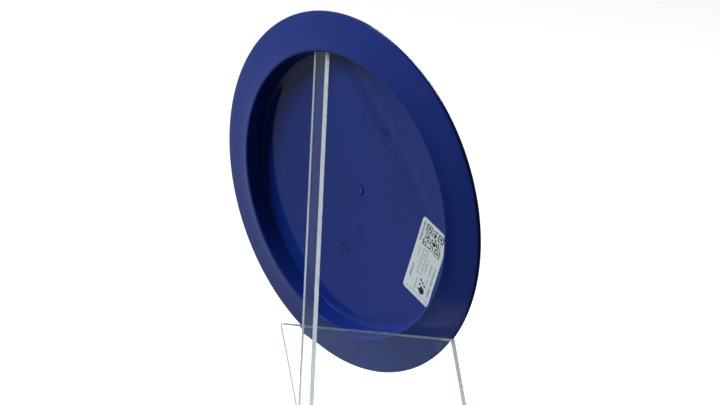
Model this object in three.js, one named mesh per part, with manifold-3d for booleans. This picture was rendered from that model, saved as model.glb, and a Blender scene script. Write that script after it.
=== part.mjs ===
// A golf disc hung on a clear acrylic display stand, with a price label stuck in the disc's recess.
// Millimetres, +Z up. The origin is the middle of the base plate's underside.
// The disc's top side faces -Y and leans back, so its recess faces +Y and the supporting post.
// Pieces are laid out with the middle of the rim's plane at Y = 0, then the whole is moved onto the origin.
import * as THREE from 'three';
import { mergeVertices } from 'three/addons/utils/BufferGeometryUtils.js';
import Module from 'manifold-3d';

const wasm = await Module();
wasm.setup();

// Clearance between neighbouring pieces
const gap = 0.3;

// How the disc is held
const leanAngle = THREE.MathUtils.degToRad(16.8); // disc's lean back from upright
const discClearance = 25.5; // disc's lowest edge above the base plate
const hookDepth = 4.6; // how far inside the rim the post's tip sits

// Disc
const discRadius = 105.5;
const rimInsideRadius = 83; // inside the rim, at its lip
const wallDraft = 1.4; // how much narrower the recess is at the flight plate
const rimDepth = 10.8; // lip to the flight plate's edge
const plateDome = 2.6; // rise of the flight plate, edge to middle
const plateThickness = 2.2;
const plateFillet = 0.8; // between wall and flight plate
const lipRadius = 1.1; // rounding of the rim's inner lip
const landWidth = 0.5; // flat ring that the rim stands on
const noseHeight = 5.6; // middle of the rounded outer edge, above the lip
const noseRadius = 0.9;
const rimHollow = 0.35; // hollow of the rim's underside, deepest a third of the way out
const shoulderRadius = 80; // where the wing meets the flight plate's top
const gateRadius = 3.2; // moulding gate mark in the middle of the recess
const gateHeight = 0.6;
const discSegments = 96;

// Label, placed on the flight plate in the disc's own plane
const labelLength = 50;
const labelWidth = 22.5;
const labelThickness = 0.2;
const labelCorner = 2;
const labelWallGap = 1.3; // label's outer corner to the fillet round the recess
const labelBearing = THREE.MathUtils.degToRad(219.9); // round the disc, from +X
const labelSkew = THREE.MathUtils.degToRad(4.9); // its long side, off the rim's direction

// Stand
const postWidth = 10;
const postThickness = 3;
const panelWidth = 150;
const panelThickness = 3;
const panelLap = 3.5; // panel's top edge above the rim's inner lip
const baseThickness = 5;
const baseSideMargin = 5; // base plate beyond the panel's ends
const baseFrontMargin = 12; // base plate in front of the panel's foot
const baseRearMargin = 29; // base plate behind the post
const baseCorner = 8;
const grooveDepth = 2; // seat of the panel in the base

// Directions in the disc's plane and square to it, as (Y, Z)
const sinLean = Math.sin(leanAngle);
const cosLean = Math.cos(leanAngle);

// Middle of the rim's plane, above the table
const discCentreHeight = baseThickness + discClearance + discRadius * cosLean - noseHeight * sinLean;

// (Y, Z) of a point given up the lean and into the disc from the lip's plane
function leanPoint(upSlope, inward) {
    const y = upSlope * sinLean - inward * cosLean;
    const z = discCentreHeight + upSlope * cosLean + inward * sinLean;
    return new THREE.Vector2(y, z);
}

function arcPoints(centreX, centreY, radius, startDegrees, endDegrees, steps) {
    const points = [];
    for (let i = 0; i <= steps; i += 1) {
        const angle = THREE.MathUtils.degToRad(startDegrees + ((endDegrees - startDegrees) * i) / steps);
        points.push(new THREE.Vector2(centreX + radius * Math.cos(angle), centreY + radius * Math.sin(angle)));
    }
    return points;
}

// Points between two ends, hollowed sideways most at a third of the way, without the ends themselves
function hollowedPoints(from, to, hollow, steps) {
    const along = to.clone().sub(from);
    const side = new THREE.Vector2(-along.y, along.x).normalize();
    const points = [];
    for (let i = 1; i < steps; i += 1) {
        const share = i / steps;
        const point = from.clone().addScaledVector(along, share);
        points.push(point.addScaledVector(side, 6.75 * hollow * share * (1 - share) ** 2));
    }
    return points;
}

// Height of the flight plate's underside above the lip's plane
function plateHeight(radius) {
    const share = radius / (rimInsideRadius - wallDraft);
    return rimDepth + plateDome * (1 - share * share);
}

// The wing's upper side: a quarter of an ellipse from the nose up to the shoulder
function wingPoints(shoulderHeight, steps) {
    const points = [];
    for (let i = 1; i < steps; i += 1) {
        const angle = ((Math.PI / 2) * i) / steps;
        const radius = shoulderRadius + (discRadius - shoulderRadius) * Math.cos(angle);
        const height = noseHeight + (shoulderHeight - noseHeight) * Math.sin(angle);
        points.push(new THREE.Vector2(radius, height));
    }
    return points;
}

function platePoints(fromRadius, toRadius, rise, steps) {
    const points = [];
    for (let i = 0; i <= steps; i += 1) {
        const radius = fromRadius + ((toRadius - fromRadius) * i) / steps;
        points.push(new THREE.Vector2(radius, plateHeight(radius) + rise));
    }
    return points;
}

// Section of the disc: distance from its axis, height above the lip's plane
function discProfile() {
    const wallRadius = rimInsideRadius - wallDraft;
    const gateTop = plateHeight(0) - gateHeight;
    const filletRadius = wallRadius - plateFillet;
    const lipCentre = rimInsideRadius + lipRadius;
    const landEnd = new THREE.Vector2(lipCentre + landWidth, 0);
    const noseCentre = discRadius - noseRadius;
    const noseStart = new THREE.Vector2(noseCentre, noseHeight - noseRadius);
    const shoulderHeight = plateHeight(shoulderRadius) + plateThickness;
    return [
        new THREE.Vector2(0, gateTop),
        new THREE.Vector2(gateRadius, gateTop),
        ...platePoints(gateRadius, filletRadius, 0, 6),
        ...arcPoints(filletRadius, rimDepth - plateFillet, plateFillet, 67, 0, 2),
        ...arcPoints(lipCentre, lipRadius, lipRadius, 180, 270, 4),
        landEnd,
        ...hollowedPoints(landEnd, noseStart, rimHollow, 5),
        ...arcPoints(noseCentre, noseHeight, noseRadius, -90, 0, 3),
        ...wingPoints(shoulderHeight, 8),
        ...platePoints(shoulderRadius, 0, plateThickness, 5),
    ];
}

function makeDisc() {
    return new THREE.LatheGeometry(discProfile(), discSegments);
}

function roundedRectangle(width, height, corner) {
    const x = width / 2 - corner;
    const y = height / 2 - corner;
    const shape = new THREE.Shape();
    shape.absarc(x, y, corner, 0, Math.PI / 2);
    shape.absarc(-x, y, corner, Math.PI / 2, Math.PI);
    shape.absarc(-x, -y, corner, Math.PI, 1.5 * Math.PI);
    shape.absarc(x, -y, corner, 1.5 * Math.PI, 2 * Math.PI);
    shape.closePath();
    return shape;
}

// Disc centre to label centre, with the label's farthest corner just inside the recess's fillet
function labelCentreRadius() {
    const reach = rimInsideRadius - wallDraft - plateFillet - labelWallGap;
    const outward = (labelWidth / 2) * Math.cos(labelSkew) + (labelLength / 2) * Math.sin(labelSkew);
    const sideways = (labelLength / 2) * Math.cos(labelSkew) - (labelWidth / 2) * Math.sin(labelSkew);
    return Math.sqrt(reach * reach - sideways * sideways) - outward;
}

// The label in the disc's own frame, where Y runs into the disc and Z runs down the lean
function makeLabel() {
    const shape = roundedRectangle(labelLength, labelWidth, labelCorner);
    const label = new THREE.ExtrudeGeometry(shape, { depth: labelThickness, bevelEnabled: false, curveSegments: 5 });
    const centreRadius = labelCentreRadius();
    label.rotateZ(labelBearing + Math.PI / 2 - labelSkew);
    label.translate(centreRadius * Math.cos(labelBearing), centreRadius * Math.sin(labelBearing), 0);
    label.rotateX(-Math.PI / 2);
    const place = label.getAttribute('position');
    for (let i = 0; i < place.count; i += 1) {
        const radius = Math.hypot(place.getX(i), place.getZ(i));
        place.setY(i, plateHeight(radius) - gap - labelThickness + place.getY(i));
    }
    return label;
}

function toSolid(geometry) {
    const bare = geometry.clone();
    bare.deleteAttribute('normal');
    bare.deleteAttribute('uv');
    const merged = mergeVertices(bare, 1e-4);
    const vertProperties = new Float32Array(merged.getAttribute('position').array);
    const triVerts = new Uint32Array(merged.getIndex().array);
    return new wasm.Manifold(new wasm.Mesh({ numProp: 3, vertProperties, triVerts }));
}

function toGeometry(solid) {
    const mesh = solid.getMesh();
    const geometry = new THREE.BufferGeometry();
    geometry.setAttribute('position', new THREE.BufferAttribute(mesh.vertProperties, 3));
    geometry.setIndex(new THREE.BufferAttribute(mesh.triVerts, 1));
    geometry.computeVertexNormals();
    return geometry;
}

// A side view, as (Y, Z) points, extruded across X and centred on X = 0
function acrossX(points, width) {
    const prism = new THREE.ExtrudeGeometry(new THREE.Shape(points), { depth: width, bevelEnabled: false });
    prism.translate(0, 0, -width / 2);
    const turn = new THREE.Matrix4().makeBasis(
        new THREE.Vector3(0, 1, 0),
        new THREE.Vector3(0, 0, 1),
        new THREE.Vector3(1, 0, 0),
    );
    return prism.applyMatrix4(turn);
}

// The recess wall above the post: its (Y, Z) at a depth inside the lip, at the post's corners
function wallPoint(inward) {
    const radius = rimInsideRadius - (wallDraft * inward) / rimDepth;
    return leanPoint(Math.sqrt(radius * radius - (postWidth * postWidth) / 4), inward);
}

const postY = wallPoint(hookDepth).x;
const postBack = postY + postThickness / 2;

// Depth inside the lip at which the wall passes over the post's back face
function depthAtPostBack() {
    const lip = wallPoint(0);
    const tip = wallPoint(hookDepth);
    return (hookDepth * (lip.x - postBack)) / (lip.x - tip.x);
}

function makePost() {
    const top = wallPoint(depthAtPostBack()).y - gap;
    const bottom = gap;
    const post = new THREE.BoxGeometry(postWidth, postThickness, top - bottom);
    post.translate(0, postY, (top + bottom) / 2);
    return post;
}

// The panel's side view between its top edge and a height, grown by a margin on both faces
function panelOutline(bottomHeight, margin) {
    const frontInward = -gap + margin;
    const backInward = -gap - panelThickness - margin;
    const topSlope = panelLap - rimInsideRadius;
    const slopeAt = (inward) => (bottomHeight - discCentreHeight - inward * sinLean) / cosLean;
    return [
        leanPoint(topSlope, frontInward),
        leanPoint(slopeAt(frontInward), frontInward),
        leanPoint(slopeAt(backInward), backInward),
        leanPoint(topSlope, backInward),
    ];
}

function makePanel() {
    const bottom = baseThickness - grooveDepth + gap;
    return acrossX(panelOutline(bottom, 0), panelWidth);
}

const panelFoot = panelOutline(baseThickness, 0)[1].x;
const baseFront = panelFoot - baseFrontMargin;
const baseDepth = postBack + baseRearMargin - baseFront;
const baseMiddle = baseFront + baseDepth / 2;

function makeBase() {
    const shape = roundedRectangle(panelWidth + 2 * baseSideMargin, baseDepth, baseCorner);
    const plate = new THREE.ExtrudeGeometry(shape, { depth: baseThickness, bevelEnabled: false, curveSegments: 8 });
    plate.translate(0, baseMiddle, 0);
    const mortise = new THREE.BoxGeometry(postWidth + 2 * gap, postThickness + 2 * gap, 4 * baseThickness);
    mortise.translate(0, postY, 0);
    const groove = acrossX(panelOutline(baseThickness - grooveDepth, gap), panelWidth + 2 * gap);
    return toGeometry(toSolid(plate).subtract(toSolid(mortise)).subtract(toSolid(groove)));
}

const mouldedPlastic = new THREE.MeshStandardMaterial({ color: 0x1a2a7a, roughness: 0.25, metalness: 0 });
const labelPaper = new THREE.MeshStandardMaterial({ color: 0xd6e0e0, roughness: 0.6, metalness: 0 });
const clearAcrylic = new THREE.MeshStandardMaterial({
    color: 0xcfdcda,
    roughness: 0.05,
    metalness: 0,
    transparent: true,
    opacity: 0.35,
});

function named(name, geometry, material) {
    const mesh = new THREE.Mesh(geometry, material);
    mesh.name = name;
    return mesh;
}

// The disc's own frame: Y runs into the disc from its lip, Z runs down the lean
const heldDisc = new THREE.Group();
heldDisc.position.set(0, 0, discCentreHeight);
heldDisc.rotation.x = Math.PI - leanAngle;
heldDisc.add(named('flying_disc', makeDisc(), mouldedPlastic));
heldDisc.add(named('price_label', makeLabel(), labelPaper));

const stand = new THREE.Group();
stand.add(named('base_plate', makeBase(), clearAcrylic));
stand.add(named('support_post', makePost(), clearAcrylic));
stand.add(named('rest_panel', makePanel(), clearAcrylic));

const displayedDisc = new THREE.Group();
displayedDisc.position.y = -baseMiddle;
displayedDisc.add(stand, heldDisc);

export default displayedDisc;
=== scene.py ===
import math
import random

import bmesh
import bpy
from mathutils import Euler, Matrix, Vector


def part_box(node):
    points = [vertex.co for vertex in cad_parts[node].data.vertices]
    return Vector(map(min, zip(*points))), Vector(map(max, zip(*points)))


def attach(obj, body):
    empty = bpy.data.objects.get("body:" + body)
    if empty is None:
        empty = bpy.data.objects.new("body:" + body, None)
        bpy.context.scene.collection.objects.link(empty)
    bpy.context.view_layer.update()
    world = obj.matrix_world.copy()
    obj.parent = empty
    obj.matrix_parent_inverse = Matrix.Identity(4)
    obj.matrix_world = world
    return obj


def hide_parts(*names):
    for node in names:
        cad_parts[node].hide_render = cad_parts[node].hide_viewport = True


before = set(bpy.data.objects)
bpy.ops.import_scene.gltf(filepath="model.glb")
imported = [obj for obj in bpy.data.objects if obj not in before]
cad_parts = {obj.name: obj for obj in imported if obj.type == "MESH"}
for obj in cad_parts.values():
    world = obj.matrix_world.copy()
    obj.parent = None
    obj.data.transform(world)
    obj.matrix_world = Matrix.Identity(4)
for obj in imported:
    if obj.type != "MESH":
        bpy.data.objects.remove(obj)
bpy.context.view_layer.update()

mm = 0.001
print("frame loaded:", len(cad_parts), "nodes")


# small helpers

def hexToLinear(code):
    channels = [int(code[i:i + 2], 16) / 255 for i in (1, 3, 5)]
    linear = [c / 12.92 if c <= 0.04045 else ((c + 0.055) / 1.055) ** 2.4 for c in channels]
    return (*linear, 1.0)


def addNode(tree, kind, settings=None, links=None):
    node = tree.nodes.new(kind)
    for key, value in (settings or {}).items():
        if isinstance(key, int) or key in node.inputs.keys():
            node.inputs[key].default_value = value
        else:
            setattr(node, key, value)
    for key, source in (links or {}).items():
        tree.links.new(source, node.inputs[key])
    return node


def newMaterial(name):
    material = bpy.data.materials.new(name)
    material.use_nodes = True
    material.node_tree.nodes.clear()
    return material, material.node_tree


def finishMaterial(tree, shader):
    addNode(tree, "ShaderNodeOutputMaterial", links={"Surface": shader})


def millimetres(tree, lean=0.0):
    place = addNode(tree, "ShaderNodeTexCoord")
    turned = addNode(tree, "ShaderNodeVectorRotate", {"rotation_type": "X_AXIS", "Angle": lean},
                     {"Vector": place.outputs["Object"]})
    return addNode(tree, "ShaderNodeVectorMath", {"operation": "SCALE", "Scale": 1 / mm},
                   {0: turned.outputs[0]}).outputs[0]


def pieceFrom(bm, name, place=None):
    mesh = bpy.data.meshes.new(name)
    if place is not None:  # the lean goes into the mesh, so that the piece's box is a true one
        bm.transform(place.to_3x3().to_4x4())
    bm.to_mesh(mesh)
    bm.free()
    piece = bpy.data.objects.new(name, mesh)
    bpy.context.scene.collection.objects.link(piece)
    if place is not None:
        piece.location = place.translation
    return piece


def shadeSmooth(piece, degrees):
    for face in piece.data.polygons:
        face.use_smooth = True
    piece.data.set_sharp_from_angle(angle=math.radians(degrees))


# the disc's own frame: X across, Y up the lean, Z into the disc from its lip

disc = {
    "radius": 105.43,       # a hair under the CAD disc's, which has fewer sides
    "rimInside": 83.0,      # inside the rim, at its lip
    "wallDraft": 1.4,
    "rimDepth": 10.8,
    "plateDome": 2.6,
    "plateThickness": 2.2,
    "plateFillet": 0.8,
    "lipRadius": 1.1,
    "landWidth": 0.5,
    "noseHeight": 5.6,
    "noseRadius": 0.9,
    "rimHollow": 0.35,      # hollow of the rim's underside, deepest a third of the way out
    "shoulder": 80.0,
    "leanDegrees": 16.8,
    "segments": 288,
    "partingRidge": 0.04,   # flash line round the nose
    "gateRadius": 3.2,
    "gateHeight": 0.6,
    "gateDimple": 0.25,
}


def plateHeight(radius):
    share = radius / (disc["rimInside"] - disc["wallDraft"])
    return disc["rimDepth"] + disc["plateDome"] * (1 - share * share)


def arc(x, y, radius, start, end, steps):
    angles = [math.radians(start + (end - start) * i / steps) for i in range(steps + 1)]
    return [(x + radius * math.cos(a), y + radius * math.sin(a)) for a in angles]


def hollowed(a, b, hollow, steps):
    along = Vector(b) - Vector(a)
    side = Vector((-along.y, along.x)).normalized()
    shares = [i / steps for i in range(1, steps)]
    return [tuple(Vector(a) + along * s + side * (6.75 * hollow * s * (1 - s) ** 2)) for s in shares]


def plateRun(start, end, rise, steps):
    radii = [start + (end - start) * i / steps for i in range(steps + 1)]
    return [(r, plateHeight(r) + rise) for r in radii]


def gateRun():  # a low round button with a shallow dimple, left where the mould was filled
    top = plateHeight(0) - disc["gateHeight"]
    edge = disc["gateRadius"]
    soft = 0.25
    dimple = disc["gateDimple"]
    return [(0, top + dimple), (edge * 0.35, top + dimple), (edge * 0.55, top + dimple * 0.4),
            (edge * 0.7, top), *arc(edge - soft, top + soft, soft, -90, 0, 4)]


def discSection():
    wall = disc["rimInside"] - disc["wallDraft"]
    fillet = disc["plateFillet"]
    lip = disc["rimInside"] + disc["lipRadius"]
    nose = disc["radius"] - disc["noseRadius"]
    landEnd = (lip + disc["landWidth"], 0)
    noseStart = (nose, disc["noseHeight"] - disc["noseRadius"])
    shoulderHeight = plateHeight(disc["shoulder"]) + disc["plateThickness"]
    wing = []
    for i in range(1, 28):
        angle = math.pi / 2 * i / 28
        wing.append((disc["shoulder"] + (disc["radius"] - disc["shoulder"]) * math.cos(angle),
                     disc["noseHeight"] + (shoulderHeight - disc["noseHeight"]) * math.sin(angle)))
    ridge = disc["partingRidge"]
    flash = [(disc["radius"] - ridge, disc["noseHeight"] - ridge),
             (disc["radius"], disc["noseHeight"]),
             (disc["radius"] - ridge, disc["noseHeight"] + ridge)]
    return [
        *gateRun(),
        *plateRun(disc["gateRadius"] + 0.15, wall - fillet, 0, 26),
        *arc(wall - fillet, disc["rimDepth"] - fillet, fillet, 67, 4, 6),
        (wall + 0.25, disc["rimDepth"] * 0.6),
        (wall + 0.85, disc["rimDepth"] * 0.3),
        *arc(lip, disc["lipRadius"], disc["lipRadius"], 176, 270, 12),
        (lip + disc["landWidth"] * 0.5, 0),
        landEnd,
        *hollowed(landEnd, noseStart, disc["rimHollow"], 16),
        *arc(nose, disc["noseHeight"], disc["noseRadius"], -82, -14, 6),
        *flash,
        *wing,
        *plateRun(disc["shoulder"], 0, disc["plateThickness"], 26),
    ]


def lathe(section, segments):
    bm = bmesh.new()
    rings = []
    for radius, height in section:
        if radius == 0:
            rings.append([bm.verts.new((0, 0, height * mm))])
            continue
        ring = []
        for i in range(segments):
            angle = 2 * math.pi * i / segments
            point = Vector((radius * math.cos(angle), radius * math.sin(angle), height)) * mm
            ring.append(bm.verts.new(point))
        rings.append(ring)
    for a, b in zip(rings, rings[1:]):
        for i in range(segments):
            j = (i + 1) % segments
            corners = [a[i % len(a)], a[j % len(a)], b[j % len(b)], b[i % len(b)]]
            bm.faces.new(list(dict.fromkeys(corners)))
    bmesh.ops.recalc_face_normals(bm, faces=bm.faces)
    return bm


def leanMatrix():
    lean = math.radians(disc["leanDegrees"])
    across = Vector((1, 0, 0))
    upSlope = Vector((0, math.sin(lean), math.cos(lean)))
    inward = Vector((0, -math.cos(lean), math.sin(lean)))
    return Matrix((across, upSlope, inward)).transposed().to_4x4()


def discPlace():  # puts the disc's box on the CAD disc's box
    turn = leanMatrix()
    points = []
    for radius, height in discSection():
        for i in range(4):
            angle = math.pi / 2 * i
            point = Vector((radius * math.cos(angle), radius * math.sin(angle), height))
            points.append(turn @ point * mm)
    low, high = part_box("flying_disc")
    middle = [(min(p[i] for p in points) + max(p[i] for p in points)) / 2 for i in range(3)]
    return Matrix.Translation((low + high) / 2 - Vector(middle)) @ turn


placeOfDisc = discPlace()
discCentre = placeOfDisc.translation
backToFlat = math.radians(disc["leanDegrees"] - 90)  # a leaning point back in the disc's axes
print("disc centre:", [round(v / mm, 2) for v in discCentre])


# camera: from behind the stand, level, long lens, tipped a little

view = {
    "azimuthDegrees": 229.65,
    "rollDegrees": 2.6,
    "distance": 1.6923,
    "lens": 150.0,
    "aimRight": 0.0103,     # aim point beside and below the disc's centre
    "aimUp": -0.0035,
}


def makeCamera():
    azimuth = math.radians(view["azimuthDegrees"])
    right = Vector((math.cos(azimuth), math.sin(azimuth), 0))
    back = Vector((math.sin(azimuth), -math.cos(azimuth), 0))
    aim = discCentre + right * view["aimRight"] + Vector((0, 0, view["aimUp"]))
    data = bpy.data.cameras.new("camera")
    data.lens = view["lens"]
    data.sensor_width = 36
    data.clip_end = 50
    camera = bpy.data.objects.new("camera", data)
    camera.location = aim + back * view["distance"]
    camera.rotation_euler = Euler((math.pi / 2, -math.radians(view["rollDegrees"]), azimuth))
    bpy.context.scene.collection.objects.link(camera)
    bpy.context.scene.camera = camera


makeCamera()


# studio: pale floor that curves up all round, soft lights

studio = {
    "floorRadius": 3.0,
    "coveRadius": 1.2,
    "wallHeight": 3.4,
    "floorColour": "#f4f4f4",
    "floorShade": "#f0f0f0",
    "floorGlow": 0.75,
    "roomDark": 0.055,
    "roomBright": 0.40,
    "roomAxis": (0.90, 0.22, 0.30),     # brightest side of the room
    "roomFrom": 0.15,                   # where the room starts to brighten, along that axis
    "roomColour": (0.93, 0.97, 1.0, 1.0),
    "lights": [  # name, place, width, height, watts, shows in gloss
        ("key", (0.60, 1.06, 1.02), 0.8, 0.8, 22, False),
        ("highWindow", (0.45, 1.9, 1.6), 0.7, 0.5, 3, True),
        ("rimLight", (0.57, -1.55, 1.57), 1.0, 1.0, 26, True),
    ],
}


def makeStudio():
    cove = studio["coveRadius"]
    corner = studio["floorRadius"] - cove
    profile = [(0, 0), (0.5, 0), (corner, 0)]
    profile += [(corner + cove * math.sin(a), cove - cove * math.cos(a))
                for a in [math.pi / 2 * i / 12 for i in range(1, 13)]]
    profile.append((studio["floorRadius"], studio["wallHeight"]))
    bm = lathe([(r / mm, h / mm) for r, h in profile], 96)
    bmesh.ops.reverse_faces(bm, faces=bm.faces)
    floor = pieceFrom(bm, "studio_floor")
    shadeSmooth(floor, 60)
    material, tree = newMaterial("pale painted studio floor")  # plain and bright, a little cloudy
    grain = addNode(tree, "ShaderNodeTexNoise", {"Scale": 3.0, "Detail": 2.0})
    tone = addNode(tree, "ShaderNodeMix",
                   {"data_type": "RGBA", 6: hexToLinear(studio["floorColour"]),
                    7: hexToLinear(studio["floorShade"])}, {0: grain.outputs["Fac"]})
    paint = addNode(tree, "ShaderNodeBsdfPrincipled",
                    {"Roughness": 0.9, "Emission Color": (1, 1, 1, 1),
                     "Emission Strength": studio["floorGlow"]}, {"Base Color": tone.outputs[2]})
    path = addNode(tree, "ShaderNodeLightPath")  # the floor is gone for light that has bounced
    gone = addNode(tree, "ShaderNodeBsdfTransparent")
    bounces = addNode(tree, "ShaderNodeMath", {"operation": "ADD"},
                      {0: path.outputs["Glossy Depth"], 1: path.outputs["Diffuse Depth"]})
    side = addNode(tree, "ShaderNodeNewGeometry")  # a camera outside the studio looks in through its wall
    hidden = addNode(tree, "ShaderNodeMath", {"operation": "ADD"},
                     {0: bounces.outputs[0], 1: side.outputs["Backfacing"]})
    shown = addNode(tree, "ShaderNodeMixShader", links={0: hidden.outputs[0], 1: paint.outputs[0],
                                                        2: gone.outputs[0]})
    finishMaterial(tree, shown.outputs[0])
    floor.data.materials.append(material)
    floor.visible_glossy = False
    floor.visible_diffuse = False
    for name, place, width, height, watts, mirrored in studio["lights"]:
        data = bpy.data.lights.new(name, "AREA")
        data.shape = "RECTANGLE"
        data.size = width
        data.size_y = height
        data.energy = watts
        light = bpy.data.objects.new(name, data)
        light.location = place
        aim = Vector((0, 0, 0.12)) - Vector(place)
        light.rotation_euler = aim.to_track_quat("-Z", "Y").to_euler()
        light.visible_glossy = mirrored
        bpy.context.scene.collection.objects.link(light)


def makeRoom():  # what gloss mirrors: a dim room, brighter on one side
    world = bpy.data.worlds.new("studio room")
    bpy.context.scene.world = world
    world.use_nodes = True
    tree = world.node_tree
    tree.nodes.clear()
    place = addNode(tree, "ShaderNodeTexCoord")
    side = addNode(tree, "ShaderNodeVectorMath", {"operation": "DOT_PRODUCT", 1: studio["roomAxis"]},
                   {0: place.outputs["Generated"]})
    bright = addNode(tree, "ShaderNodeMapRange",
                     {"interpolation_type": "SMOOTHSTEP", "From Min": studio["roomFrom"], "From Max": 1.0,
                      "To Min": studio["roomDark"], "To Max": studio["roomBright"]},
                     {"Value": side.outputs["Value"]})
    light = addNode(tree, "ShaderNodeBackground", {"Color": studio["roomColour"]},
                    {"Strength": bright.outputs[0]})
    addNode(tree, "ShaderNodeOutputWorld", links={"Surface": light.outputs[0]})


makeStudio()
makeRoom()
bpy.context.scene.view_settings.view_transform = "Standard"
print("camera and studio made")


# moulded polyethylene: glossy, slightly rippled skin over a deep solid blue

plastic = {
    "blue": "#15338c",
    "deepBlue": "#122c80",
    "cloudSize": 45.0,      # slow drift between the two blues, mm
    "roughness": (0.045, 0.11),
    "ior": 1.5,
    "rippleSize": 6.0,      # shrinkage ripple, mm across
    "rippleHeight": 0.012,
    "turningPitch": 0.9,    # tool marks of the mould, mm apart, coarser than real so they show
    "turningShare": 0.02,   # their depth beside the ripple's
    "bumpStrength": 0.35,
    "scratchSize": 14.0,
}


def mouldedPolyethylene():
    material, tree = newMaterial("moulded glossy polyethylene")
    place = millimetres(tree, backToFlat)
    cloud = addNode(tree, "ShaderNodeTexNoise",
                    {"Scale": 1 / plastic["cloudSize"], "Detail": 3.0, "Roughness": 0.6}, {"Vector": place})
    colour = addNode(tree, "ShaderNodeMix",
                     {"data_type": "RGBA", 6: hexToLinear(plastic["deepBlue"]),
                      7: hexToLinear(plastic["blue"])}, {0: cloud.outputs["Fac"]})
    smear = addNode(tree, "ShaderNodeTexNoise",
                    {"Scale": 1 / plastic["scratchSize"], "Detail": 6.0, "Roughness": 0.7, "Distortion": 0.6},
                    {"Vector": place})
    polish = addNode(tree, "ShaderNodeMapRange",
                     {"From Min": 0.3, "From Max": 0.75, "To Min": plastic["roughness"][0],
                      "To Max": plastic["roughness"][1]}, {"Value": smear.outputs["Fac"]})
    ripple = addNode(tree, "ShaderNodeTexNoise", {"Scale": 1 / plastic["rippleSize"], "Detail": 1.0},
                     {"Vector": place})
    flat = addNode(tree, "ShaderNodeVectorMath", {"operation": "MULTIPLY", 1: (1, 1, 0)}, {0: place})
    fromAxis = addNode(tree, "ShaderNodeVectorMath", {"operation": "LENGTH"}, {0: flat.outputs[0]})
    turning = addNode(tree, "ShaderNodeMath",
                      {"operation": "MULTIPLY", 1: 2 * math.pi / plastic["turningPitch"]},
                      {0: fromAxis.outputs["Value"]})
    rings = addNode(tree, "ShaderNodeMath", {"operation": "SINE"}, {0: turning.outputs[0]})
    faint = addNode(tree, "ShaderNodeMath", {"operation": "MULTIPLY", 1: plastic["turningShare"]},
                    {0: rings.outputs[0]})
    height = addNode(tree, "ShaderNodeMath", {"operation": "ADD"},
                     {0: ripple.outputs["Fac"], 1: faint.outputs[0]})
    bump = addNode(tree, "ShaderNodeBump",
                   {"Strength": plastic["bumpStrength"], "Distance": plastic["rippleHeight"] * mm * 10},
                   {"Height": height.outputs[0]})
    skin = addNode(tree, "ShaderNodeBsdfPrincipled", {"IOR": plastic["ior"], "Specular IOR Level": 0.5},
                   {"Base Color": colour.outputs[2], "Roughness": polish.outputs[0], "Normal": bump.outputs[0]})
    finishMaterial(tree, skin.outputs[0])
    return material


bluePlastic = mouldedPolyethylene()


def makeDisc():
    piece = pieceFrom(lathe(discSection(), disc["segments"]), "moulded_disc", placeOfDisc)
    piece.data.materials.append(bluePlastic)
    shadeSmooth(piece, 40)
    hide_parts("flying_disc")
    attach(piece, "disc")
    return piece


makeDisc()
print("disc made")


# raised mould marks on the underside of the flight plate, all generic shapes

marks = {
    "height": 0.3,
    "sink": 0.12,
    "stroke": 0.7,
    "badgeMiddle": (-26.2, 38.3),
    "badgeTurn": 212.8,
    "badgeLength": 12.0,
    "badgeWidth": 7.5,
    "tickCount": 15,
    "roundMiddle": (21.5, -34.2),
    "roundRadius": 4.8,
    "dotMiddle": (6.5, -23.6),
    "dotRadius": 2.4,
}


def raisedBar(bm, a, b, width):  # a bar on the plate between two points, domed across
    a, b = Vector(a), Vector(b)
    along = (b - a).normalized()
    side = Vector((-along.y, along.x))
    steps = max(2, int((b - a).length / 1.5))
    heights = [(-0.5, -marks["sink"]), (-0.4, marks["height"] * 0.7), (0, marks["height"]),
               (0.4, marks["height"] * 0.7), (0.5, -marks["sink"])]
    rows = []
    for i in range(steps + 1):
        middle = a.lerp(b, i / steps)
        row = []
        for across, rise in heights:
            point = middle + side * across * width
            if i in (0, steps):
                rise = min(rise, 0)
            level = plateHeight(point.length) - rise
            row.append(bm.verts.new((point.x * mm, point.y * mm, level * mm)))
        rows.append(row)
    for first, second in zip(rows, rows[1:]):
        for k in range(len(heights) - 1):
            bm.faces.new((first[k], first[k + 1], second[k + 1], second[k]))
        bm.faces.new((first[-1], first[0], second[0], second[-1]))
    bm.faces.new(rows[0][::-1])
    bm.faces.new(rows[-1])


def raisedLoop(bm, points, width):
    for a, b in zip(points, points[1:] + points[:1]):
        raisedBar(bm, a, b, width)


def turned(points, middle, degrees):
    angle = math.radians(degrees)
    c, s = math.cos(angle), math.sin(angle)
    return [(middle[0] + x * c - y * s, middle[1] + x * s + y * c) for x, y in points]


def roundedLoop(length, width, corner):
    points = []
    for i, (sx, sy) in enumerate([(1, 1), (-1, 1), (-1, -1), (1, -1)]):
        points += arc(sx * (length / 2 - corner), sy * (width / 2 - corner), corner, 90 * i, 90 * i + 90, 4)
    return points


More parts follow.
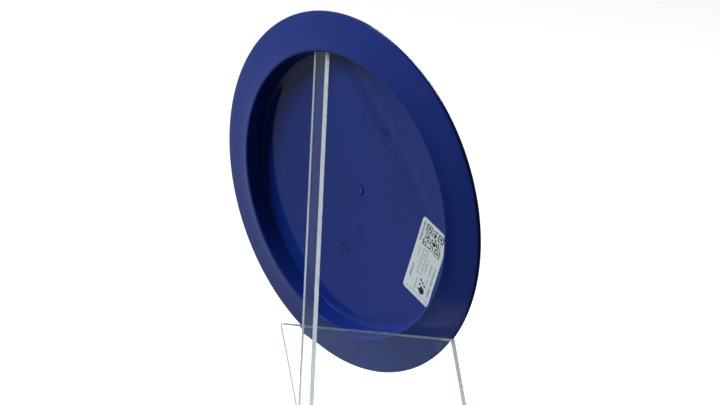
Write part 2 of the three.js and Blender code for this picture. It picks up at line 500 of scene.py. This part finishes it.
def makeMarks():
    bm = bmesh.new()
    stroke = marks["stroke"]
    middle, turn = marks["badgeMiddle"], marks["badgeTurn"]
    length, width = marks["badgeLength"], marks["badgeWidth"]
    badgeLoops = [(-0.55, 0.8, 1.0, 2.4), (0.55, 0.8, 1.0, 2.4), (0.55, 0.4, 0.35, 1.2)]
    for shift, longShare, wideShare, corner in badgeLoops:
        loop = roundedLoop(length * longShare, width * wideShare, corner)
        shifted = [(x + length * shift, y) for x, y in loop]
        raisedLoop(bm, turned(shifted, middle, turn), stroke)
    random.seed(4)
    for i in range(marks["tickCount"]):  # a row of small ticks beside the badge
        x = (i - marks["tickCount"] / 2) * 2.3
        tall = 0.8 + 0.5 * random.random()
        ends = turned([(x, 7.2 - tall), (x + 0.3, 7.2 + tall)], middle, turn)
        raisedBar(bm, ends[0], ends[1], stroke * 0.75)
    ring = [(marks["roundRadius"] * math.cos(a), marks["roundRadius"] * math.sin(a))
            for a in [2 * math.pi * i / 28 for i in range(28)]]
    raisedLoop(bm, turned(ring, marks["roundMiddle"], 0), stroke * 0.7)
    for offset in (-2.2, 0, 2.2):
        half = math.sqrt(marks["roundRadius"] ** 2 - offset ** 2) - 1.0
        ends = turned([(-half, offset), (half, offset)], marks["roundMiddle"], 140)
        raisedBar(bm, ends[0], ends[1], stroke * 0.7)
    small = [(marks["dotRadius"] * math.cos(a), marks["dotRadius"] * math.sin(a))
             for a in [2 * math.pi * i / 18 for i in range(18)]]
    raisedLoop(bm, turned(small, marks["dotMiddle"], 0), stroke * 0.6)
    bmesh.ops.recalc_face_normals(bm, faces=bm.faces)
    piece = pieceFrom(bm, "mould_marks", placeOfDisc)
    piece.data.materials.append(bluePlastic)
    shadeSmooth(piece, 60)
    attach(piece, "disc")


makeMarks()
print("mould marks made")


# price label: a printed paper sheet, its print laid out on a fine grid of faces

label = {
    "length": 50.0,
    "width": 22.5,
    "corner": 2.0,
    "wallGap": 1.3,
    "bearing": 219.9,
    "skew": 4.9,
    "cell": 0.36,
    "lift": 0.16,           # paper's printed face above the plate
    "paper": "#e2eeef",
    "black": "#14161c",
    "grey": "#8c9699",
    "seed": 11,
}


def labelCentreRadius():
    reach = disc["rimInside"] - disc["wallDraft"] - disc["plateFillet"] - label["wallGap"]
    skew = math.radians(label["skew"])
    outward = label["width"] / 2 * math.cos(skew) + label["length"] / 2 * math.sin(skew)
    sideways = label["length"] / 2 * math.cos(skew) - label["width"] / 2 * math.sin(skew)
    return math.sqrt(reach * reach - sideways * sideways) - outward


def roundCorner(u, v):  # squeezes the square corner cells onto the rounded corner
    halfU, halfV, corner = label["length"] / 2, label["width"] / 2, label["corner"]
    du, dv = abs(u) - (halfU - corner), abs(v) - (halfV - corner)
    if du <= 0 or dv <= 0:
        return u, v
    squeeze = max(du, dv) / math.hypot(du, dv)
    return (math.copysign(halfU - corner + du * squeeze, u),
            math.copysign(halfV - corner + dv * squeeze, v))


def printedCells(columns, rows):
    ink = [[0] * rows for _ in range(columns)]
    random.seed(label["seed"])

    def fill(u0, u1, v0, v1, tone):
        for i in range(max(0, round(u0 / label["cell"])), min(columns, round(u1 / label["cell"]))):
            for j in range(max(0, round(v0 / label["cell"])), min(rows, round(v1 / label["cell"]))):
                ink[i][j] = tone

    def strokes(u0, u1, v, tall, tone, stride):  # a run of short strokes in place of words
        u = u0
        while u < u1:
            if random.random() > 0.16:
                low = v - tall / 2 + tall * 0.25 * random.random()
                high = v + tall / 2 - tall * 0.25 * random.random()
                if random.random() < 0.4:
                    fill(u, u + stride * 0.5, low, high, tone)
                else:
                    fill(u, u + stride * 0.8, v - label["cell"] / 2, v + label["cell"] / 2, tone)
                    fill(u, u + label["cell"], low, high, tone)
            u += stride

    def eye(u, v, size):
        fill(u, u + size, v, v + size, 2)
        fill(u + size * 0.15, u + size * 0.85, v + size * 0.15, v + size * 0.85, 0)
        fill(u + size * 0.32, u + size * 0.68, v + size * 0.32, v + size * 0.68, 2)

    codeStart, codeSide, codeTop, block = 2.0, 15.1, 4.3, 0.72
    count = int(codeSide / block)
    for i in range(count):
        for j in range(count):
            if random.random() < 0.46:
                fill(codeStart + i * block, codeStart + (i + 1) * block,
                     codeTop + j * block, codeTop + (j + 1) * block, 2)
    eyeSize = 4.7
    for u, v in [(0, 0), (0, 1), (1, 1)]:
        eyeU = codeStart + u * (codeSide - eyeSize)
        eyeV = codeTop + v * (codeSide - eyeSize)
        fill(eyeU - block, eyeU + eyeSize + block, eyeV - block, eyeV + eyeSize + block, 0)
        eye(eyeU, eyeV, eyeSize)
    strokes(2.6, 15.0, 2.3, 1.5, 2, 0.72)
    for i in range(14):  # a strip of small print across the far end
        v = 3.0 + 1.3 * i
        fill(47.0, 48.2 - 0.7 * random.random(), v, v + 0.72, 1)
    strokes(19.6, 26.5, 4.2, 1.1, 1, 0.72)
    boxStart, boxSide, boxTop = 17.9, 3.3, 6.9
    for i in range(5):
        u = boxStart + i * boxSide
        fill(u, u + label["cell"], boxTop, boxTop + 3.6, 1)
        strokes(u + 1.3, u + 2.0, boxTop + 1.8, 1.4, 1, 0.72)
    fill(boxStart, boxStart + 5 * boxSide, boxTop, boxTop + label["cell"], 1)
    fill(boxStart, boxStart + 5 * boxSide, boxTop + 3.4, boxTop + 3.76, 1)
    fill(boxStart + 5 * boxSide, boxStart + 5 * boxSide + label["cell"], boxTop, boxTop + 3.76, 1)
    strokes(23.0, 31.5, 12.6, 1.8, 1, 1.08)
    strokes(31.6, 40.5, 3.1, 2.2, 2, 1.08)
    strokes(24.0, 40.0, 16.3, 1.8, 1, 1.08)
    strokes(24.0, 44.5, 19.6, 2.2, 2, 1.08)
    strokes(38.0, 46.0, 8.9, 1.8, 1, 1.08)
    for i in range(8):  # an emblem of blocks beside a disc
        u, v = 36.8 + 1.05 * i, 11.2 + 1.7 * (i % 3)
        fill(u, u + 1.2, v, v + 1.5, 2)
    middleU, middleV = 43.6, 14.4
    for i in range(columns):
        for j in range(rows):
            away = math.hypot((i + 0.5) * label["cell"] - middleU, (j + 0.5) * label["cell"] - middleV)
            if away < 2.1:
                ink[i][j] = 2
    return ink


def printMaterial(name, code, gloss):  # uncoated paper takes a soft, slightly uneven print
    material, tree = newMaterial(name)
    place = millimetres(tree)
    fibre = addNode(tree, "ShaderNodeTexNoise", {"Scale": 1 / 0.5, "Detail": 4.0}, {"Vector": place})
    shade = addNode(tree, "ShaderNodeMapRange",
                    {"From Min": 0.3, "From Max": 0.7, "To Min": 0.94, "To Max": 1.03},
                    {"Value": fibre.outputs["Fac"]})
    tone = addNode(tree, "ShaderNodeMix", {"data_type": "RGBA", "blend_type": "MULTIPLY", 0: 1.0,
                                           6: hexToLinear(code)}, {7: shade.outputs[0]})
    bump = addNode(tree, "ShaderNodeBump", {"Strength": 0.2, "Distance": 0.02 * mm},
                   {"Height": fibre.outputs["Fac"]})
    sheet = addNode(tree, "ShaderNodeBsdfPrincipled", {"Roughness": gloss, "IOR": 1.45},
                    {"Base Color": tone.outputs[2], "Normal": bump.outputs[0]})
    finishMaterial(tree, sheet.outputs[0])
    return material


def makeLabel():
    columns = round(label["length"] / label["cell"])
    rows = round(label["width"] / label["cell"])
    ink = printedCells(columns, rows)
    bearing = math.radians(label["bearing"])
    along = bearing + math.pi / 2 - math.radians(label["skew"])
    outward = Vector((math.cos(along - math.pi / 2), math.sin(along - math.pi / 2)))
    down = Vector((math.cos(along), math.sin(along)))
    middle = Vector((math.cos(bearing), math.sin(bearing))) * labelCentreRadius()
    bm = bmesh.new()
    grid = []
    for i in range(columns + 1):
        line = []
        for j in range(rows + 1):
            u = (i / columns - 0.5) * label["length"]
            v = (j / rows - 0.5) * label["width"]
            u, v = roundCorner(u, v)
            point = middle + down * u + outward * v
            level = plateHeight(point.length) - label["lift"]
            line.append(bm.verts.new((point.x * mm, point.y * mm, level * mm)))
        grid.append(line)
    for i in range(columns):
        for j in range(rows):
            face = bm.faces.new((grid[i][j], grid[i + 1][j], grid[i + 1][j + 1], grid[i][j + 1]))
            face.material_index = ink[i][j]
            face.smooth = True
    bm.normal_update()
    bm.faces.ensure_lookup_table()
    if bm.faces[0].normal.z > 0:  # the print faces away from the plate
        bmesh.ops.reverse_faces(bm, faces=bm.faces)
    piece = pieceFrom(bm, "printed_label", placeOfDisc)
    for name, code, gloss in [("printed paper, bare", label["paper"], 0.42),
                              ("printed paper, grey ink", label["grey"], 0.45),
                              ("printed paper, black ink", label["black"], 0.4)]:
        piece.data.materials.append(printMaterial(name, code, gloss))
    thick = piece.modifiers.new("paper thickness", "SOLIDIFY")
    thick.thickness = 0.1 * mm
    thick.offset = -1
    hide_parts("price_label")
    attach(piece, "disc")


makeLabel()
print("label made")


# cast acrylic: water clear with a faint green cast in depth, and cut edges that glow pale

acrylic = {
    "ior": 1.49,
    "tint": "#f4fbf8",
    "edgeTint": "#e6efed",
    "edgeGlow": "#e0ebea",
    "frost": 0.38,          # share of light that a cut edge scatters
    "arris": 0.25,          # broken edges, mm
    "sawPitch": 0.7,        # saw lines on a cut edge, mm apart
    "sawRoughness": (0.18, 0.32),
    "smearSize": 12.0,      # wiping smears on a polished face, mm
}


def lampsThrough(tree, shader):  # lamps reach what lies behind the sheet
    path = addNode(tree, "ShaderNodeLightPath")
    clear = addNode(tree, "ShaderNodeBsdfTransparent", {"Color": (0.94, 0.96, 0.95, 1)})
    return addNode(tree, "ShaderNodeMixShader", links={0: path.outputs["Is Shadow Ray"], 1: shader,
                                                       2: clear.outputs[0]}).outputs[0]


def polishedAcrylic():
    material, tree = newMaterial("cast acrylic, polished face")
    place = millimetres(tree)
    smear = addNode(tree, "ShaderNodeTexNoise",
                    {"Scale": 1 / acrylic["smearSize"], "Detail": 5.0, "Roughness": 0.65}, {"Vector": place})
    haze = addNode(tree, "ShaderNodeMapRange",
                   {"From Min": 0.45, "From Max": 0.8, "To Min": 0.0, "To Max": 0.06},
                   {"Value": smear.outputs["Fac"]})
    glass = addNode(tree, "ShaderNodeBsdfPrincipled",
                    {"Base Color": hexToLinear(acrylic["tint"]), "IOR": acrylic["ior"],
                     "Transmission Weight": 1.0}, {"Roughness": haze.outputs[0]})
    finishMaterial(tree, lampsThrough(tree, glass.outputs[0]))
    return material


def sawnAcrylic():
    material, tree = newMaterial("cast acrylic, sawn edge")
    place = millimetres(tree)
    lines = addNode(tree, "ShaderNodeTexWave",
                    {"Scale": 1 / acrylic["sawPitch"], "Distortion": 1.5, "Detail": 2.0, "bands_direction": "Z"},
                    {"Vector": place})
    rough = addNode(tree, "ShaderNodeMapRange",
                    {"To Min": acrylic["sawRoughness"][0], "To Max": acrylic["sawRoughness"][1]},
                    {"Value": lines.outputs["Fac"]})
    clear = addNode(tree, "ShaderNodeBsdfPrincipled",
                    {"Base Color": hexToLinear(acrylic["edgeTint"]), "IOR": acrylic["ior"],
                     "Transmission Weight": 1.0}, {"Roughness": rough.outputs[0]})
    milky = addNode(tree, "ShaderNodeBsdfTranslucent", {"Color": hexToLinear(acrylic["edgeGlow"])})
    edge = addNode(tree, "ShaderNodeMixShader", {0: acrylic["frost"]},
                   {1: clear.outputs[0], 2: milky.outputs[0]})
    finishMaterial(tree, lampsThrough(tree, edge.outputs[0]))
    return material


def makeSheetPiece(node, name, sheetNormal):
    bm = bmesh.new()
    bm.from_mesh(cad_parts[node].data)
    bmesh.ops.remove_doubles(bm, verts=bm.verts, dist=0.01 * mm)
    bmesh.ops.dissolve_limit(bm, angle_limit=math.radians(1), verts=bm.verts, edges=bm.edges)
    sharp = [e for e in bm.edges if e.is_manifold and e.calc_face_angle(0) > math.radians(30)]
    bmesh.ops.bevel(bm, geom=sharp, offset=acrylic["arris"] * mm, segments=3, profile=0.5, affect="EDGES",
                    clamp_overlap=True)
    bm.normal_update()
    for face in bm.faces:
        face.material_index = 0 if abs(face.normal.dot(sheetNormal)) > 0.99 else 1
    piece = pieceFrom(bm, name)
    piece.data.materials.append(polishedFace)
    piece.data.materials.append(sawnEdge)
    shadeSmooth(piece, 35)
    flat = piece.modifiers.new("flat faces stay flat", "WEIGHTED_NORMAL")
    flat.weight = 100
    flat.keep_sharp = True
    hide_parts(node)
    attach(piece, "stand")
    return piece


polishedFace = polishedAcrylic()
sawnEdge = sawnAcrylic()
makeSheetPiece("support_post", "acrylic_post", Vector((0, 1, 0)))
makeSheetPiece("rest_panel", "acrylic_panel", leanMatrix().to_3x3() @ Vector((0, 0, 1)))
makeSheetPiece("base_plate", "acrylic_base", Vector((0, 0, 1)))
print("stand made")
